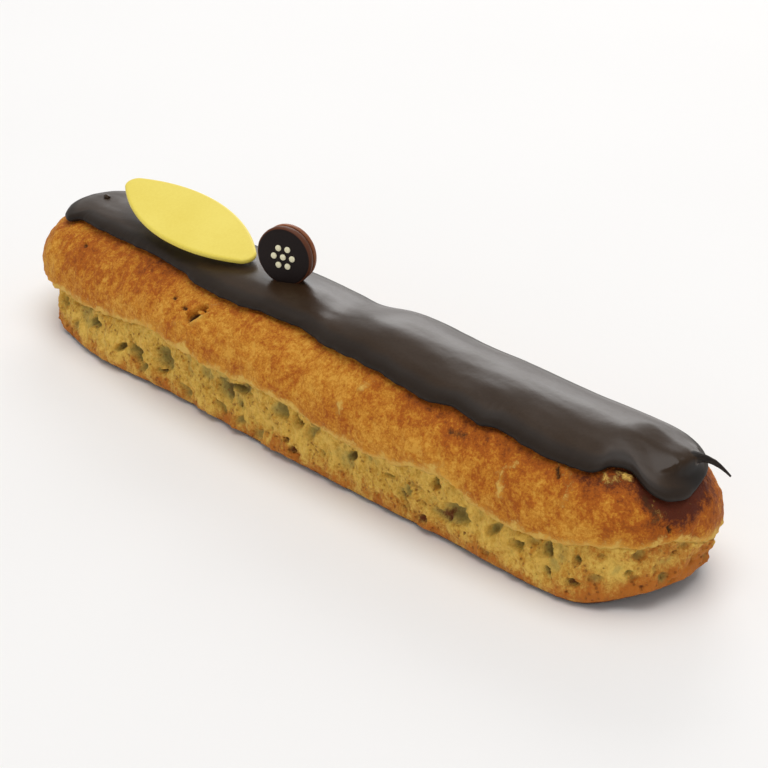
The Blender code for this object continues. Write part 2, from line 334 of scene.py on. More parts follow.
def softbox(name, place, aim, size, power):
    lamp = bpy.data.lights.new(name, "AREA")
    lamp.shape = "RECTANGLE"
    lamp.size, lamp.size_y = size
    lamp.energy = power
    made = bpy.data.objects.new(name, lamp)
    bpy.context.scene.collection.objects.link(made)
    made.location = place
    made.rotation_euler = (Vector(place) - Vector(aim)).to_track_quat("Z", "Y").to_euler()
    made.visible_camera = False
    return made


softbox("overhead_lamp", (0.2, 0.05, 3.0), (0, 0, 0), (2.8, 2.8), 58)
softbox("back_lamp", (-1.8, 1.9, 1.4), (0, 0, 0), (1.3, 0.8), 16)
softbox("low_lamp", (-0.85, 1.5, 0.42), (0, 0, 0), (1.4, 0.45), 4)
softbox("front_lamp", (1.4, -2.4, 1.0), (0, 0, 0), (1.6, 1.2), 8)
print("lamps:", [lamp.name for lamp in bpy.data.lights])

# %% [markdown]
# ## Finishes as sums
# A finish is maths on patterns: a base colour, browner here, paler there. Blender builds that from
# nodes. A small class wraps a node's output, so that the sums can be written as Python, and one
# method adds any node with its settings and its inputs.

# %% Sums on sockets


class Value:
    """An output of one of a finish's nodes."""

    def __init__(self, finish, output):
        self.finish = finish
        self.output = output

    def maths(self, operation, first, second=0.0):
        return self.finish.node("ShaderNodeMath", {"operation": operation}, {0: first, 1: second})

    def __add__(self, other):
        return self.maths("ADD", self, other)

    __radd__ = __add__

    def __sub__(self, other):
        return self.maths("SUBTRACT", self, other)

    def __rsub__(self, other):
        return self.maths("SUBTRACT", other, self)

    def __mul__(self, other):
        return self.maths("MULTIPLY", self, other)

    __rmul__ = __mul__

    def __pow__(self, other):
        return self.maths("POWER", self, other)

    def between(self, low, high):
        """0 below low and 1 above high, smooth in between."""
        settings = {"interpolation_type": "SMOOTHSTEP"}
        return self.finish.node("ShaderNodeMapRange", settings, {0: self, 1: low, 2: high, 3: 0.0, 4: 1.0})


class Finish:
    """A material under construction."""

    def __init__(self, name, **sockets):
        self.material = bpy.data.materials.new(name)
        self.material.use_nodes = True
        self.tree = self.material.node_tree
        self.shader = self.tree.nodes["Principled BSDF"]
        self.set(sockets)
        self.place = self.node("ShaderNodeTexCoord", out="Object")

    def set(self, sockets):
        for name, value in sockets.items():
            self.join(self.shader.inputs[name.replace("_", " ")], value)

    def join(self, socket, value):
        if isinstance(value, Value):
            self.tree.links.new(value.output, socket)
        else:
            socket.default_value = value

    def node(self, kind, settings=(), sockets=(), out=0):
        made = self.tree.nodes.new(kind)
        for name, value in dict(settings).items():
            setattr(made, name, value)
        for name, value in dict(sockets).items():
            self.join(made.inputs[name], value)
        return Value(self, made.outputs[out])

    def specks(self, size, detail=3.0, roughness=0.5, stretch=None):
        """Cloudy noise whose lumps are that many millimetres across, stretched along axes."""
        place = self.place
        if stretch:
            scale = {"operation": "MULTIPLY"}
            place = self.node("ShaderNodeVectorMath", scale, {0: place, 1: stretch})
        inputs = {"Vector": place, "Scale": 1 / (size * MM), "Detail": detail, "Roughness": roughness}
        return self.node("ShaderNodeTexNoise", {}, inputs)

    def mask(self, name):
        return self.node("ShaderNodeAttribute", {"attribute_name": name}, out="Fac")

    def mix(self, first, second, share, how="MIX"):
        settings = {"data_type": "RGBA", "blend_type": how}
        return self.node("ShaderNodeMix", settings, {0: share, 6: first, 7: second}, out=2)

    def relief(self, height, strength=1.0):
        """Raises the surface by a height in millimetres, through its shading."""
        inputs = {"Strength": strength, "Distance": MM, "Height": height}
        self.set({"Normal": self.node("ShaderNodeBump", {}, inputs)})


def shade(red, green, blue):
    """A colour as a painter names it, from 0 to 255, in the linear light that shaders use."""
    parts = [part / 255 for part in (red, green, blue)]
    return (*[part / 12.92 if part < 0.04 else ((part + 0.055) / 1.055) ** 2.4 for part in parts], 1.0)


print("mid grey is", round(shade(128, 128, 128)[0], 3), "in linear light")

# %% [markdown]
# ## Pale table
# The table is matt white card. A faint cloudiness keeps it from looking like an empty page.

# %% Table finish
card = Finish("pale_card", Roughness=0.75)
cloud = card.specks(120)
card.set({"Base Color": card.mix(shade(240, 239, 238), shade(245, 244, 243), cloud)})
card.relief(card.specks(2.5) * 0.02)
table.data.materials.append(card.material)
print("finish:", card.material.name)

# %% [markdown]
# ## Baked crust
# Choux browns unevenly: fine grains of darker and paler gold, larger clouds of deeper brown, and pale
# tears where the skin split open late in the oven. The grains and clouds are noise at three sizes.
# The tears, the stains, the painted shade inside the torn hole and the pits, and the darker browning
# are masks that the mesh carries, so that they stay on its form.

# %% Crust finish
GOLD_PALE = shade(218, 158, 60)
GOLD = shade(198, 128, 36)
GOLD_DEEP = shade(172, 90, 16)
BROWN = shade(84, 31, 7)
CRUMB = shade(190, 148, 64)


def crust_finish():
    crust = Finish("baked_crust", Roughness=0.72)
    crust.set({"Specular IOR Level": 0.22, "Subsurface Weight": 0.06, "Subsurface Scale": 0.002})
    grain = crust.specks(0.42, 4, 0.7)
    flake = crust.specks(1.3, 4, 0.65)
    blotch = crust.specks(3.2, 4, 0.65)
    cloud = crust.specks(12, 2, 0.5)
    brown = 0.45 + (grain - 0.5) * 2.5 + (flake - 0.5) * 2.4 + (blotch - 0.5) * 2 + (cloud - 0.5) * 1.5
    brown = brown + crust.mask("brown")
    colour = crust.mix(GOLD_PALE, GOLD, brown.between(-0.1, 0.5))
    colour = crust.mix(colour, GOLD_DEEP, brown.between(0.4, 1.1))
    colour = crust.mix(colour, BROWN, brown.between(0.9, 2.4))
    pale = (crust.mask("pale") + (grain - 0.5) * 1.6 + (flake - 0.5) * 1.8 + (blotch - 0.5)).between(0.45, 1.25)
    colour = crust.mix(colour, shade(222, 180, 88), pale)
    colour = crust.mix(colour, CRUMB, crust.mask("under"))
    # This mask holds real stains, and painted shade inside the torn hole and the pits.
    stain = (crust.mask("stain") + (grain - 0.5) * 0.9).between(0.3, 0.95)
    colour = crust.mix(colour, shade(74, 44, 16), stain)
    crust.set({"Base Color": colour})
    crust.relief(grain * 0.14 + flake * 0.22 + blotch * 0.25)
    return crust.material


baked_crust = crust_finish()
print("finish:", baked_crust.name)

# %% [markdown]
# ## Crumb
# Under the lip the pastry never browned. It is pale and a little green in its hollows, because thin
# wet walls let the light in, and it turns orange where it touched the hot tray. Its hollows, and the
# valleys of its torn relief, are also painted greyer and darker inside, as shade.

# %% Crumb finish


def crumb_finish():
    crumb = Finish("pale_crumb", Roughness=0.7)
    crumb.set({"Specular IOR Level": 0.25, "Subsurface Weight": 0.1, "Subsurface Scale": 0.002})
    grain = crumb.specks(0.5, 4, 0.7)
    fibre = crumb.specks(1.3, 4, 0.65, (1.0, 1.0, 0.4))
    cloud = crumb.specks(5, 3, 0.6)
    cells = crumb.node("ShaderNodeTexVoronoi", {}, {"Vector": crumb.place, "Scale": 1 / (0.85 * MM)})
    pores = (1 - (cells + (grain - 0.5) * 0.3).between(0.08, 0.36)) * (cloud * 0.5 + fibre * 0.5).between(0.42, 0.58)
    fine = (grain - 0.5) * 1.6 + (fibre - 0.5) * 1.4 + (cloud - 0.5) * 0.8
    colour = crumb.mix(shade(230, 190, 90), shade(194, 144, 44), (fine + 0.5).between(0.1, 1.0))
    toasted = (crumb.mask("toast") + fine * 0.8 + (cloud - 0.5) * 1.6).between(0.1, 1.2)
    colour = crumb.mix(colour, shade(186, 110, 34), toasted)
    # Hollows and the valleys of the torn relief: the wet crumb's greener tint, with painted shade that is darkest at
    # their bottoms.
    hollow = (crumb.mask("hollow") + (fibre - 0.5) * 0.6).between(0.1, 0.9)
    colour = crumb.mix(colour, shade(168, 150, 80), hollow)
    deep_shade = (crumb.mask("hollow") + (fibre - 0.5) * 0.9 + (grain - 0.5) * 0.5).between(0.45, 1.3)
    colour = crumb.mix(colour, shade(112, 88, 40), deep_shade)
    colour = crumb.mix(colour, shade(150, 88, 32), pores * 0.75)
    burnt = (crumb.mask("burnt") + (grain - 0.5) * 0.8 + (toasted - 0.5) * 0.2).between(0.15, 0.9)
    colour = crumb.mix(colour, shade(106, 54, 18), burnt)
    # A dark line at the foot: the burnt base's own brown, with painted contact shade where it meets the table.
    colour = crumb.mix(colour, shade(76, 38, 22), (crumb.mask("rim") + (grain - 0.5) * 0.8).between(0.3, 0.9))
    crumb.set({"Base Color": colour})
    crumb.relief(grain * 0.16 + fibre * 0.3 - pores * 0.25)
    return crumb.material


pale_crumb = crumb_finish()
print("finish:", pale_crumb.name)

# %% [markdown]
# ## Chocolate and sugar
# The icing is satin: it was poured warm and set slowly, so lights on it are soft and long. The leaf
# is coloured chocolate with a very fine dust, the button is dark chocolate on a caramel back.

# %% Icing, leaf and button finishes


def satin(name, dark, light, roughness, specular, relief, rim=shade(96, 56, 38)):
    """A set chocolate: two near shades in soft clouds, with soft highlights and a browner rim where the mesh marks
    one.
    """
    finish = Finish(name)
    finish.set({"Specular IOR Level": specular})
    grain = finish.specks(0.5, 3, 0.6)
    cloud = finish.specks(9, 2, 0.5)
    colour = finish.mix(dark, light, (grain * 0.5 + cloud * 0.5).between(0.3, 0.7))
    colour = finish.mix(colour, rim, finish.mask("rim"))
    # Where the mesh's shaded mask is set, painted shade darkens the colour and dulls its highlights.
    shaded = finish.mask("shaded")
    finish.set({"Base Color": finish.mix(colour, dark, shaded * 0.85, "MULTIPLY")})
    finish.set({"Roughness": roughness + (cloud - 0.5) * 0.12 + (grain - 0.5) * 0.06 + shaded * 0.3})
    finish.relief(finish.specks(1.2, 2) * relief + finish.specks(5, 2) * relief * 2)
    return finish.material


icing_finish = satin("dark_icing", shade(48, 33, 19), shade(55, 39, 24), 0.32, 0.3, 0.02)
leaf_finish = satin("yellow_leaf", shade(233, 211, 84), shade(239, 219, 98), 0.45, 0.3, 0.015)
button_finish = satin("dark_button", shade(24, 15, 14), shade(30, 20, 18), 0.45, 0.15, 0.01)
caramel_finish = satin("caramel_back", shade(120, 66, 38), shade(158, 96, 58), 0.42, 0.3, 0.03)
cream_finish = satin("cream_dots", shade(236, 228, 186), shade(244, 238, 206), 0.5, 0.3, 0.01)
print("finishes:", len(bpy.data.materials))

# %% [markdown]
# ## Marks on the pastry
# Cracks, pits and hollows are marks at places on the skin. Each is a short path with a width. The
# helper finds how near every point of a mesh is to that path, which then sinks the skin, stains it, or darkens it
# with painted shade.

# %% Nearness to a path


def nearness(points, path, width):
    """1 on the path, falling to 0 at that distance from it."""
    flat = points.reshape(-1, 3)
    nearest = np.full(len(flat), 1e9)
    middle = path.mean(axis=0)
    reach = np.linalg.norm(path - middle, axis=1).max() + width
    close = np.linalg.norm(flat - middle, axis=1) < reach
    for start, end in zip(path, path[1:]):
        along = end - start
        share = np.clip((flat[close] - start) @ along / max(along @ along, 1e-9), 0, 1)
        gap = np.linalg.norm(flat[close] - start - share[:, None] * along, axis=1)
        nearest[close] = np.minimum(nearest[close], gap)
    return smooth(1 - nearest / width).reshape(points.shape[:-1])


def crust_path(stops, steps=6):
    """A path over the dome through (run, slope angle) stops."""
    stops = np.array(stops, float)
    count = (len(stops) - 1) * steps + 1
    places = np.linspace(0, len(stops) - 1, count)
    run = np.interp(places, range(len(stops)), stops[:, 0])
    angle = np.interp(places, range(len(stops)), stops[:, 1])
    return dome(Plan(run), angle[:, None])[:, 0]


print("the long crease is", len(crust_path([(49, 40), (56, 33), (63, 18)])), "points long")

# %% [markdown]
# ## The icing's edge
# The icing reaches further down the dome in some places than in others. It is needed before the
# crust, because the crust darkens beside it and is left smooth underneath.

# %% How far down the icing reaches
# (run, slope angle at its edge)
ICING_EDGE = (
    (-62, 63.5), (-58, 62), (-53, 61), (-38.5, 61), (-33.5, 59), (-29.5, 58), (-26.5, 55), (-22.5, 53.5),
    (-14, 54), (-10, 56), (-3, 57.5), (1, 60), (4.5, 58), (8.5, 54), (13, 52), (22, 51.5), (25.5, 50), (29.5, 49),
    (33.5, 48), (37.5, 50.5), (44, 47.5), (46.5, 50.5), (49.5, 51.5), (56.5, 48.5), (66, 49), (68.5, 51.5),
    (69.5, 55), (73, 55), (75.5, 52), (76.2, 46), (77, 39), (78.5, 32), (80, 28), (84, 28), (86.5, 31.5),
    (88, 33.5), (90, 35), (93, 37), (97, 40), (104, 46), (112, 50), (126, 53), (140, 49), (158, 54), (172, 51),
    (186, 56), (204, 52), (218, 57), (230, 57), (240, 54), (252, 51), (262, 50), (270, 52), (273.2, 55.5),
    (274.2, 61), (277, 64),
)
EDGE_BLUR = 0.8


def icing_edge(plan):
    return soft_line(plan, ICING_EDGE, EDGE_BLUR) + 0.9 * rough(plan.points(9, 20), 3)


print("the icing ends at", round(float(icing_edge(Plan(0))[0, 0])), "degrees up the dome in the middle")

# %% [markdown]
# ## The crust
# The crust is a closed dome: a flat underside, the roll of its lip, and the dome itself. It is drawn
# finely, so that lumps, the torn hole and the cracks are real relief that also shows from the side.

# %% Marks on the crust
TORN_HOLE = ((-22.8, 29.5), (-21.7, 35.5), (-20.7, 40.5))
DARK_PITS = (
    ((-29.1, 38), (-28.5, 38)),
    ((-25.4, 34.5), (-24.7, 34.8)),
    ((59.3, 46.5), (60.1, 41.5)),
    ((80.1, 6), (80.3, 1.5)),
    ((-59.5, 47), (-59, 46)),
)
PALE_TEARS = (
    ((69.5, 50), (72, 51.5), (75, 48)),
    ((78.4, 27), (78.6, 20)),
    ((-21.4, 27), (-20.3, 34), (-19.5, 41), (-19.2, 50)),
    ((-23.6, 24), (-24.8, 19)),
    ((-20.6, 16), (-21.7, 6), (-22.4, 1)),
    ((21.2, 49), (20.7, 44), (18.7, 34), (18, 28), (17.7, 18)),
    ((53, 40), (51, 32), (50.8, 24), (52.2, 18)),
    ((58.6, 49.5), (61.3, 45), (63.5, 36.5), (63.3, 26)),
)
BLISTER = ((57.2, 31), (57.4, 29))
STAINS = (((42.4, 38.5), (41, 36.5), (39.8, 35.5)), ((76.9, 34), (77.3, 26), (78.3, 15)))
BROWNINGS = (
    ((-60, 38), (-50, 38), (-40, 46), (-34, 54)),
    ((30, 46), (36, 45), (43, 42)),
    ((50, 43), (51, 41)),
    ((66, 34), (74, 20), (92, 14)),
)
TOE_BROWN = 83  # the run at which the +X end is darkest

# %% The crust as a grid of points
CRUST_RUNS = runs_round(390, 140)
crust_plan = Plan(CRUST_RUNS)
ROLL_RINGS = 10
UNDER_RINGS = 2


def crust_grid(plan):
    """Rings up from the middle of the underside, and how far up the dome each is."""
    low = lip_height(plan) - LIP_TUCK
    rings = [plan.points(0, low), plan.points(NECK_HALF * 0.6, low)]
    for i in range(ROLL_RINGS):
        turn = math.radians(90 * i / ROLL_RINGS)
        radius = lerp(neck_half(plan), crust_half(plan), math.sin(turn))
        rings.append(plan.points(radius, lerp(belly_height(plan), low, math.cos(turn))))
    shown = np.concatenate((np.linspace(0, 66, 50), np.linspace(70, 90, 5)))[None, :]
    low = np.concatenate(rings, axis=1)
    return np.concatenate((low, dome(plan, shown)), axis=1), shown


grid, dome_angles = crust_grid(crust_plan)
angles = np.concatenate((np.full((1, grid.shape[1] - dome_angles.shape[1]), -1.0), dome_angles), axis=1)
print("the crust is a grid of", grid.shape[0], "by", grid.shape[1], "points")

# %% Lumps, tears and pits
outward = dome(crust_plan, np.maximum(angles, 0), 1.0) - dome(crust_plan, np.maximum(angles, 0))
bare = smooth((icing_edge(crust_plan) + 3 - angles) / 5)
bare = bare * (np.arange(angles.shape[1]) > UNDER_RINGS - 2)
bare[:, 0] = 0
lumps = 0.30 * rough(grid, 9) + 0.20 * rough(grid, 2.8) + 0.09 * rough(grid, 0.9, 2)
frayed = 0.5 * rough(grid, 1.3, 2)
sink = np.zeros(grid.shape[:2])
low_lip = grid[..., 2] - grid[:, UNDER_RINGS : UNDER_RINGS + 1, 2]
pale = 1.15 * (1 - smooth((low_lip + 1.1 * rough(grid, 2.6, 2)) / 3.2))
brown = np.zeros(grid.shape[:2])
stain = np.zeros(grid.shape[:2])
for stops in PALE_TEARS:
    near = nearness(grid, crust_path(stops), 1.9) * (1 + 1.3 * rough(grid, 2.0, 2))
    pale = pale + 0.6 * near
    sink = sink - 0.25 * near * (1 + 3 * frayed)
sink = sink - 0.45 * nearness(grid, crust_path(BLISTER), 6.5)
sink = sink + 0.9 * frayed * hump(low_lip, 0.7, 1.2)
# The torn hole and the pits are sunk, and their insides are also painted dark as shade.
hole = nearness(grid, crust_path(TORN_HOLE), 1.5)
sink = sink + 1.8 * smooth(hole * (1.4 + frayed))
stain = stain + 0.95 * smooth(hole * 2.2 - 0.5 + 0.6 * frayed)
for stops in DARK_PITS:
    pit = nearness(grid, crust_path(stops), 0.75)
    sink = sink + 0.7 * pit
    stain = stain + pit
for stops in STAINS:
    stain = stain + 0.7 * nearness(grid, crust_path(stops), 1.3)
for stops in BROWNINGS:
    brown = brown + 0.6 * nearness(grid, crust_path(stops), 7.5)
toe_share = hump(crust_plan.run, TOE_BROWN, 18)
brown = brown + 0.35 * hump(angles, icing_edge(crust_plan), 6)
brown = brown + toe_share * 1.8 * hump(angles, icing_edge(crust_plan) - 2, 14)
under = 1 - smooth((low_lip + 0.6 * frayed) / 0.6)
crust = grid + outward * ((lumps - sink) * bare)[..., None]
data = skin("choux_crust", crust, pale=pale, brown=brown, stain=stain, under=under)
piece("choux_crust", data, baked_crust, "choux", "choux_shell")

# %% [markdown]
# ## The band of crumb
# The band stands between the table and the lip. Steam tore it open: it is full of bubbles of all
# sizes. The big ones have their own places, and a scatter of small ones fills the rest.

# %% Bubbles by name
# (run, height, half width, half height, depth, how burnt, lean)
BUBBLES = (
    (-61.8, 6.4, 1.1, 2.0, 1.6, 0.6, 0.2),
    (-50.4, 6.7, 2.0, 1.5, 1.5, 0.0, -0.3),
    (-41.9, 5.1, 1.0, 1.3, 1.4, 0.5, -0.8),
    (-37.6, 5.6, 2.1, 2.0, 1.6, 0.1, 0.2),
    (-29.4, 7.2, 2.9, 2.5, 1.3, 0.0, 0.1),
    (-30.7, 4.4, 1.2, 0.6, 1.0, 0.9, 0.0),
    (-12.5, 7.4, 2.2, 2.2, 0.9, 0.0, 0.2),
    (-9.0, 9.0, 2.4, 0.8, 1.2, 0.2, -0.3),
    (2.6, 9.4, 2.2, 1.8, 0.9, 0.0, 0.0),
    (6.7, 9.0, 1.6, 1.2, 2.4, 1.3, 0.0),
    (9.8, 8.0, 1.4, 1.6, 0.8, 0.1, -0.4),
    (19.6, 7.4, 1.2, 1.3, 1.3, 0.3, -0.7),
    (28.0, 7.3, 1.2, 0.5, 1.0, 0.3, -0.7),
    (31.8, 4.6, 0.5, 2.2, 1.1, 0.8, 0.5),
    (38.4, 10.1, 1.1, 1.2, 1.4, 0.3, -0.4),
    (42.6, 6.4, 3.1, 2.0, 1.6, 0.1, 0.2),
    (40.9, 4.8, 1.0, 0.7, 1.0, 0.9, 0.0),
    (50.7, 7.0, 1.3, 1.5, 1.2, 0.3, -0.6),
    (55.7, 6.6, 1.4, 1.1, 1.4, 0.4, -0.2),
    (61.0, 7.6, 1.2, 1.3, 1.4, 0.3, 0.0),
    (66.6, 7.8, 0.9, 0.8, 1.0, 0.5, 0.0),
    (61.6, 4.0, 0.6, 1.3, 1.0, 0.9, 0.5),
    (66.0, 3.8, 1.2, 0.7, 0.8, 0.9, 0.0),
    (74.6, 5.2, 0.8, 0.7, 0.8, 0.5, 0.0),
    (-0.4, 4.6, 0.6, 0.6, 0.7, 0.8, 0.0),
    (4.0, 4.7, 0.8, 0.6, 0.7, 0.7, 0.0),
    (5.2, 3.1, 0.9, 0.9, 0.8, 0.9, -0.4),
    (12.3, 5.3, 0.7, 0.7, 0.8, 0.6, 0.3),
)
LOOSE_BUBBLES = 210
BUBBLE_SEED = 11

# %% The band as a grid of points
BAND_RUNS = runs_round(430, 160)
band_plan = Plan(BAND_RUNS)
BAND_RINGS = 40
TUCK = 0.8  # how far the band reaches up inside the crust


def band_grid(plan):
    inner = foot_half(plan) - FOOT_CORNER
    rings = [plan.points(0, 0), plan.points(inner * 0.6, 0)]
    for i in range(6):
        turn = math.radians(90 * i / 6)
        rings.append(plan.points(inner + FOOT_CORNER * math.sin(turn), FOOT_CORNER * (1 - math.cos(turn))))
    share = np.linspace(0, 1, BAND_RINGS + 1)[None, :]
    radius = lerp(foot_half(plan), neck_half(plan), share**2)
    top = lip_height(plan) - LIP_TUCK
    rings.append(plan.points(radius, lerp(FOOT_CORNER, top, share)))
    tucked = lip_height(plan) - LIP_TUCK + TUCK
    rings += [plan.points(neck_half(plan) - 0.4, tucked), plan.points(0, tucked)]
    return np.concatenate(rings, axis=1)


band = band_grid(band_plan)
print("the band is a grid of", band.shape[0], "by", band.shape[1], "points")

# %% Bubbles in the crumb


def scattered(count, seed):
    """Small bubbles anywhere on the band, most of them tiny."""
    draw = np.random.default_rng(seed)
    found = []
    for _ in range(count):
        size = 0.35 + 1.1 * draw.random() ** 3
        place = draw.uniform(-SPINE_HALF, ROUND_ALL - SPINE_HALF)
        height = draw.uniform(1.6, 10.5)
        wide = size * draw.uniform(0.8, 1.4)
        found.append((place, height, wide, size, 0.55 * size, draw.random() ** 2, draw.uniform(-0.6, 0.6)))
    return found


run = band_plan.run + 0 * band[..., 2]
height = band[..., 2] - foot_lift(band[..., 0]) * (1 - band[..., 2] / CREST_HEIGHT)
wobble = 0.22 * rough(band, 1.2, 2)
carve = np.zeros(run.shape)
hollow = np.zeros(run.shape)
burnt = np.zeros(run.shape)
# Each bubble is carved, its inside is painted greyer and darker as shade, and it is burnt where listed.
for place, level, wide, tall, depth, scorch, lean in (*BUBBLES, *scattered(LOOSE_BUBBLES, BUBBLE_SEED)):
    along = (run - place + ROUND_ALL / 2) % ROUND_ALL - ROUND_ALL / 2
    up = height - level
    reach = np.hypot((along + lean * up) / wide, up / tall) + wobble
    bowl = np.clip(1 - reach**2, 0, 1) ** 0.7
    carve = np.maximum(carve, 1.6 * depth * bowl)
    hollow = np.maximum(hollow, bowl * min(depth, 1))
    burnt = np.maximum(burnt, scorch * bowl ** 1.5)
print("the deepest bubble is", round(float(carve.max()), 1), "mm")

# %% Crumb relief
side = np.zeros(band.shape[1])
side[4:-2] = 1
torn = rough(band * (1, 1, 0.8), 5) + 0.5 * rough(band, 2.4, 2)
# The valleys of the torn relief are painted like hollows: greyer and darker, as shade.
hollow = hollow + 0.55 * smooth(-1.4 * torn - 0.1) * smooth((height - 2) / 4)
grown = 0.8 * torn + 0.34 * rough(band * (1, 1, 0.6), 1.5) + 0.2 * rough(band, 0.8, 2)
outward = np.stack((band_plan.out_x, band_plan.out_y, 0 * band_plan.out_x), axis=-1)
fade = smooth((height - 0.2) / 1.5) * side
crumb_skin = band + outward * ((grown - carve) * fade)[..., None]
toast = 1.0 * (1 - smooth(height / 6.5)) + 0.75 * hump(band_plan.run, TOE_BROWN, 16)
# The lowest millimetre carries that dark line: partly the burnt foot, partly painted contact shade against the
# table.
rim = 1.1 * (1 - smooth((height - 0.3) / 0.8))
data = skin("choux_band", crumb_skin, hollow=hollow, burnt=burnt, toast=toast, rim=rim)
piece("choux_band", data, pale_crumb, "choux", "choux_shell")

# %% [markdown]
# ## The icing
# The icing lies on the dome like a thick skin with a rounded edge. Where the brush left it, at the
# +X end, it stands up in a fold, and the fold runs out into a hooked thread.

# %% Icing sizes
ICING_THICK = 1.6
ICING_SEAT = 0.15  # its underside stands this far off the dome
ICING_BEAD = 7.0  # degrees of the dome over which its edge rounds down
FILM_THICK = 0.7  # below the fold the icing is a thin film
FOLD_ANGLE = 49
FOLD_RISE = 12  # degrees over which the fold swells, from above
FOLD_FALL = 4.5  # and over which it drops to the film
FOLD_HEIGHT = 1.4
FOLD_START = -8  # bearings between which the fold stands
FOLD_END = 34

# %% The icing as a grid of points
icing_plan = Plan(runs_round(340, 170))
TOP_RINGS = 52
BEAD_RINGS = 14


def fold_share(plan, ramp):
    rise = smooth((plan.bearing - FOLD_START) / ramp + 0.5)
    return rise * smooth((FOLD_END - plan.bearing) / ramp + 0.5)


def icing_height(plan, angle):
    """How thick the icing is: even on the dome, swelling to the fold, and thin below it."""
    above = ICING_THICK + FOLD_HEIGHT * fold_share(plan, 34) * hump(angle, FOLD_ANGLE, FOLD_RISE)
    below = FILM_THICK + (above - FILM_THICK) * hump(angle, FOLD_ANGLE, FOLD_FALL)
    return np.where(angle > FOLD_ANGLE, above, lerp(ICING_THICK, below, fold_share(plan, 40)))


def icing_grid(plan):
    """Rings from the crest out beneath the icing, round its bead, and back over its top."""
    centre = icing_edge(plan) + ICING_BEAD
    beneath = np.array([[0, 0.35, 0.7, 0.9]])
    under = dome(plan, lerp(90, centre, beneath), ICING_SEAT)
    round_edge = np.radians(np.linspace(180, 0, BEAD_RINGS + 1))[None, :]
    angle = centre - ICING_BEAD * np.sin(round_edge)
    thick = icing_height(plan, angle)
    bead = dome(plan, angle, ICING_SEAT + thick * (1 + np.cos(round_edge)) / 2)
    share = np.linspace(0, 1, TOP_RINGS + 1)[None, 1:]
    angle = lerp(centre, 90, share)
    top = dome(plan, angle, ICING_SEAT + icing_height(plan, angle))
    rise = np.concatenate((0 * beneath, (1 + np.cos(round_edge)) / 2, 1 + 0 * share), axis=1)
    return under, np.concatenate((bead, top), axis=1), rise, angle


under, coat, rise, top_angle = icing_grid(icing_plan)
swell = 0.22 * rough(coat, 16, 2) + 0.10 * rough(coat * (0.3, 1, 1), 4, 2)
coat = coat + np.array([0, 0, 1.0]) * (swell * smooth(np.linspace(0, 5, coat.shape[1])))[..., None]
whole = np.concatenate((under, coat), axis=1)
# Painted shade: the lower half of the edge's bead, a band just above it and, at the +X end, the film below the fold.
in_fold = np.ones(whole.shape[:2])
in_fold[:, -TOP_RINGS:] = smooth((FOLD_ANGLE + 1 - top_angle) / 5)
shaded = np.maximum(1 - smooth((rise - 0.6) / 0.4), fold_share(icing_plan, 40) * in_fold)
edge_gap = np.maximum(top_angle - icing_edge(icing_plan) - ICING_BEAD, 0)
near_edge = np.ones(whole.shape[:2])
near_edge[:, -TOP_RINGS:] = 1 - smooth(edge_gap / 6)
shaded = np.maximum(shaded, 0.6 * near_edge)
data = skin("chocolate_icing", whole, shaded=shaded)

# %% [markdown]
# ## The thread
# Lifting the brush drew the icing out into a hooked thread. It is a tapering tube along a short
# curve, united with the coat so that the two are one skin, and then smoothed where they meet.

# %% Thread of icing
THREAD = (
    ((71.6, 3.6, 21.2), 0.8),
    ((73.2, 5.4, 21.8), 1.0),
    ((74.6, 7.0, 21.5), 0.7),
    ((75.8, 8.2, 20.6), 0.4),
    ((76.7, 9.1, 19.5), 0.24),
    ((77.3, 9.7, 18.6), 0.16),
)
THREAD_STEPS = 40
THREAD_SIDES = 20
SLIVER = 0.04


def curve_through(stops, count):
    """Points and radii along a smooth curve through the stops."""
    stops = np.array([(*point, radius) for point, radius in stops])
    padded = np.concatenate((2 * stops[:1] - stops[1:2], stops, 2 * stops[-1:] - stops[-2:-1]))
    found = []
    for place in np.linspace(0, len(stops) - 1, count):
        i = min(int(place), len(stops) - 2)
        t = place - i
        a, b, c, d = padded[i : i + 4]
        found.append(b + 0.5 * t * (c - a + t * (2 * a - 5 * b + 4 * c - d + t * (3 * (b - c) + d - a))))
    found = np.array(found)
    return found[:, :3], found[:, 3]


def tube(points, radii):
    """Rings along a curve, closed at both ends, as a grid for a skin."""
    forward = np.gradient(points, axis=0)
    forward /= np.linalg.norm(forward, axis=1)[:, None]
    side = np.cross(forward, (0, 0, 1))
    side /= np.linalg.norm(side, axis=1)[:, None]
    over = np.cross(side, forward)
    radii = np.concatenate(([0], radii, [0]))
    points = np.concatenate((points[:1], points, points[-1:]))
    side = np.concatenate((side[:1], side, side[-1:]))
    over = np.concatenate((over[:1], over, over[-1:]))
    turn = np.linspace(0, 2 * math.pi, THREAD_SIDES, endpoint=False)[:, None, None]
    return points + radii[:, None] * (np.cos(turn) * side + np.sin(turn) * over)


def unite(data, extra, near, reach, rounds):
    """One mesh of two that cross, smoothed where they lie within reach of a place."""
    first = bpy.data.objects.new("first", data)
    second = bpy.data.objects.new("second", extra)
    for made in (first, second):
        bpy.context.scene.collection.objects.link(made)
    join = first.modifiers.new("join", "BOOLEAN")
    join.operation = "UNION"
    join.object = second
    bpy.context.view_layer.update()
    united = bpy.data.meshes.new_from_object(first.evaluated_get(bpy.context.evaluated_depsgraph_get()))
    for made in (first, second):
        bpy.data.objects.remove(made)
    mesh = bmesh.new()
    mesh.from_mesh(united)
    bmesh.ops.remove_doubles(mesh, verts=mesh.verts, dist=SLIVER * MM)
    soft = [vert for vert in mesh.verts if (vert.co / MM - Vector(near)).length < reach]
    for _ in range(rounds):
        bmesh.ops.smooth_vert(mesh, verts=soft, factor=0.5, use_axis_x=True, use_axis_y=True, use_axis_z=True)
    mesh.to_mesh(united)
    mesh.free()
    return united


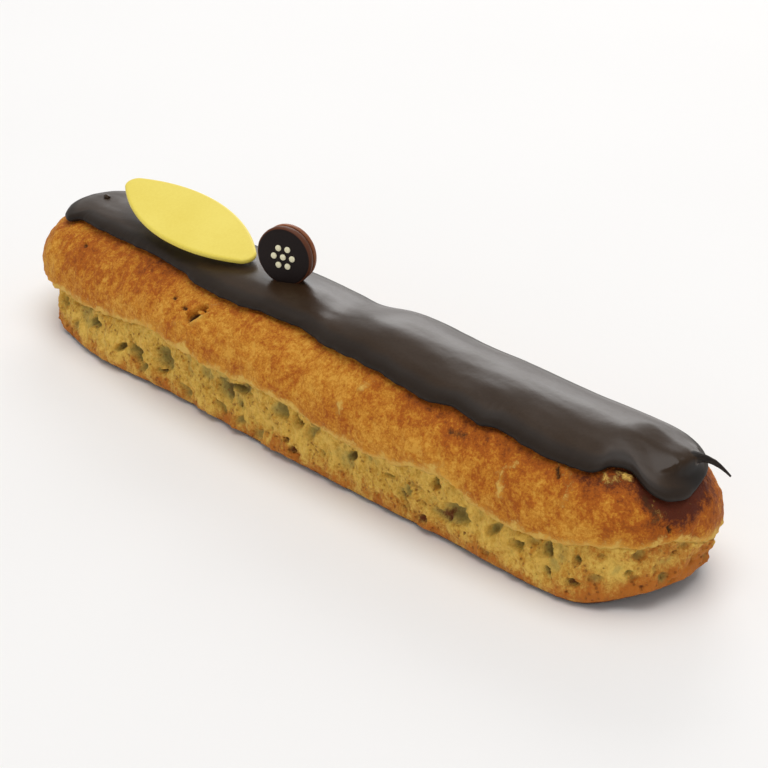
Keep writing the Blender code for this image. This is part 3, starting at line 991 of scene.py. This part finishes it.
thread_points, thread_radii = curve_through(THREAD, THREAD_STEPS)
# The whole thread is painted in shade too.
thread = skin("thread", tube(thread_points, thread_radii), shaded=1)
data = unite(data, thread, (73.4, 5.4, 21.4), 3.4, 14)
piece("icing_coat", data, icing_finish, "icing", "chocolate_icing")

# %% [markdown]
# ## The leaf
# The leaf is a thin plate cut from a sheet of set chocolate: two arcs that meet in rounded tips. Its
# edges are soft where they were cut, so the plate is drawn as rings inwards from its outline.

# %% Leaf outline
LEAF_LENGTH = 38
LEAF_WIDTH = 13.6
LEAF_THICK = 1.0
LEAF_TIP = 2.2
LEAF_CENTRE = (-38.4, -0.6, 27.0)
LEAF_TURN = (11, 4, -4)


def leaf_outline(points):
    """Two arcs that meet in rounded tips, anticlockwise from the +X end of the -Y side."""
    tall = LEAF_WIDTH / 2 - LEAF_TIP
    reach = LEAF_LENGTH / 2 - LEAF_TIP
    radius = (reach**2 + tall**2) / (2 * tall)
    half = math.asin(reach / radius)
    turn = np.linspace(-half, half, points)
    arc = np.stack(((radius + LEAF_TIP) * np.sin(turn), -(radius + LEAF_TIP) * np.cos(turn) + radius - tall), -1)
    tip = np.linspace(-math.pi / 2 + half, math.pi / 2 - half, points // 4)[1:-1]
    end = np.stack((reach + LEAF_TIP * np.cos(tip), LEAF_TIP * np.sin(tip)), -1)
    near = np.concatenate((arc, end))
    return np.concatenate((near, -near))


outline = leaf_outline(90)
print("the leaf measures", np.round(np.ptp(outline, axis=0), 1), "mm")

# %% Leaf as rings
LEAF_EDGE = 0.42


def plate(outline, thick, edge, crown=0.0):
    """A plate with a rounded edge: rings from under its middle, out and back over the top."""
    outward = np.roll(outline, -1, axis=0) - np.roll(outline, 1, axis=0)
    outward = np.stack((outward[:, 1], -outward[:, 0]), -1)
    outward /= np.linalg.norm(outward, axis=1)[:, None]
    rings = []
    for turn in np.radians(np.linspace(-90, 90, 11)):
        ring = outline - outward * edge * (1 - math.cos(turn))
        level = math.copysign(thick / 2 - edge, turn) * (abs(turn) > 1e-6) + edge * math.sin(turn)
        rings.append((ring, level))
    inner = outline - outward * edge
    flat = np.array((0.0, 0.35, 0.7, 0.9, 0.97))
    low = [(inner * share, -thick / 2) for share in flat]
    high = [(inner * share, thick / 2 + crown * (1 - share**2)) for share in flat[::-1]]
    made = [np.column_stack((ring, np.full(len(ring), level))) for ring, level in low + rings + high]
    return np.stack(made, axis=1)


def placed(grid, centre, turn):
    matrix = np.array(Euler([math.radians(part) for part in turn]).to_matrix())
    return grid @ matrix.T + centre


leaf = plate(outline, LEAF_THICK, LEAF_EDGE)
data = skin("leaf", placed(leaf, LEAF_CENTRE, LEAF_TURN))
piece("yellow_leaf", data, leaf_finish, "plaque", "plaque")

# %% [markdown]
# ## The button
# The button is two thin discs of chocolate, a dark one in front of a caramel one, pressed upright
# into the soft icing. A small rosette of cream dots, one dot with six round it, dresses its face.

# %% Two discs
BUTTON_RADIUS = 5.2
BUTTON_THICK = 1.4
BUTTON_EDGE = 0.5
BACK_RADIUS = 5.1
BACK_THICK = 0.9
BACK_EDGE = 0.25
BACK_GAP = 0.3
BUTTON_CENTRE = np.array((-10.3, -2.0, 29.5))
BUTTON_TURN = (89, 0, 20)


def round_outline(radius, sides=120):
    turn = np.linspace(0, 2 * math.pi, sides, endpoint=False)
    ring = np.stack((np.cos(turn), np.sin(turn)), -1)
    return ring * (radius + 0.05 * rough(np.column_stack((ring * radius, 0 * turn)), 4)[:, None])


front = plate(round_outline(BUTTON_RADIUS), BUTTON_THICK, BUTTON_EDGE, crown=0.12)
# The rounded edge of the front disc is marked to be browner.
rim = np.zeros((1, front.shape[1]))
rim[0, 4:-7] = 1
data = skin("button_front", placed(front, BUTTON_CENTRE, BUTTON_TURN), rim=rim)
piece("button_face", data, button_finish, "button", "button_front")
behind = (BUTTON_THICK + BACK_THICK) / 2 + BACK_GAP
caramel = plate(round_outline(BACK_RADIUS), BACK_THICK, BACK_EDGE) - (0, 0, behind)
data = skin("button_back", placed(caramel, BUTTON_CENTRE, BUTTON_TURN))
piece("button_caramel", data, caramel_finish, "button_back", "button_back")

# %% Rosette of dots
DOT_RADIUS = 0.55
DOT_RING = 1.75
DOT_THICK = 0.34
dot_turns = np.radians(range(0, 360, 60))
dot_places = [(0, 0)] + [(DOT_RING * math.cos(turn), DOT_RING * math.sin(turn)) for turn in dot_turns]
for i, (across, up) in enumerate(dot_places):
    dot = plate(round_outline(DOT_RADIUS, 32), DOT_THICK, 0.16, crown=0.05)
    dot = dot + (across, up, BUTTON_THICK / 2 + 0.2)
    data = skin(f"button_dot_{i}", placed(dot, BUTTON_CENTRE, BUTTON_TURN))
    piece(f"button_dot_{i}", data, cream_finish, "plaque")

# %% [markdown]
# ## Crumbs
# Handling a cake like this leaves a few crumbs: a dark chip of icing on the heel, and flakes of crust
# by the torn hole. Each is a small lump, half sunk in the surface it lies on.

# %% Crumbs
# (name, run, slope angle, offset, half size, slot)
CRUMBS = (
    ("chip", 256, 78, 1.9, (0.9, 0.5, 0.45), "icing"),
    ("flake_1", -20.5, 38, 0.1, (0.8, 0.45, 0.3), "choux"),
    ("flake_2", -19.2, 42, 0.1, (0.6, 0.5, 0.3), "choux"),
)


def lump(place, half):
    """A small rough lump as rings from its lowest point to its highest."""
    turn = np.linspace(0, 2 * math.pi, 24, endpoint=False)[:, None]
    rise = np.linspace(-math.pi / 2, math.pi / 2, 13)[None, :]
    ball = np.stack((np.cos(turn) * np.cos(rise), np.sin(turn) * np.cos(rise), np.sin(rise) + 0 * turn), -1)
    ball[:, 0] = (0, 0, -1)
    ball[:, -1] = (0, 0, 1)
    return ball * (1 + 0.35 * rough(ball + place, 0.9, 2))[..., None] * half + place


for name, run, angle, offset, half, slot in CRUMBS:
    place = dome(Plan(run), np.array([[angle]]), offset)[0, 0]
    data = skin(name, lump(place, half))
    piece(name, data, icing_finish if slot == "icing" else baked_crust, slot)
